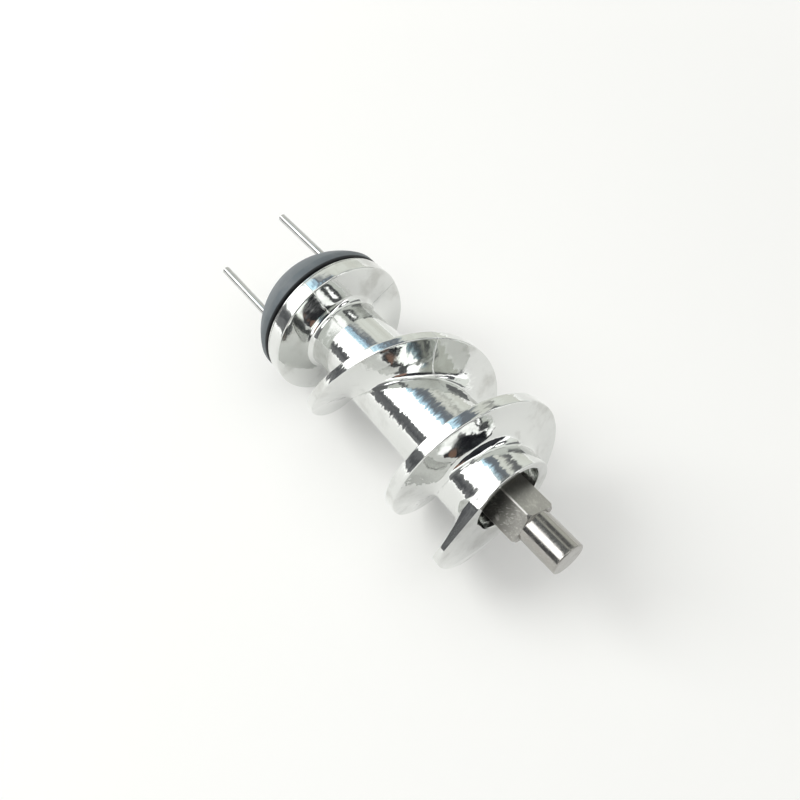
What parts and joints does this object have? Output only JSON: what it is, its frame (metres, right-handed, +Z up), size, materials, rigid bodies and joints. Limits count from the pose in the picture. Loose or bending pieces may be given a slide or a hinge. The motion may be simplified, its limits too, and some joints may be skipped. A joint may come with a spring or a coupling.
{
  "type": "meat grinder auger",
  "caption": "Polished cast feed screw for a meat grinder: left-handed flight on a tapered core, steel knife square and journal in front, drive pins through a domed rubber seal behind.",
  "frame": {"origin": "centre of the lying screw's box, on the floor it lies on", "axes": "+X towards the knife end along the length, +Z up as the screw lies at rest; the screw's own axis rises 1.8 degrees towards +X, because the flight's rim is a cone"},
  "size_m": [0.1432, 0.0478, 0.0479],
  "materials": {
    "cast_aluminium": "polished casting",
    "spindle_steel": "milled and ground",
    "pin_steel": "polished",
    "seal_rubber": "matte"
  },
  "bodies": {
    "root": {"auger_screw": "cast_aluminium", "knife_spindle": "spindle_steel", "drive_pin_left": "pin_steel", "drive_pin_right": "pin_steel", "rear_seal": "seal_rubber"}
  },
  "joints": []
}
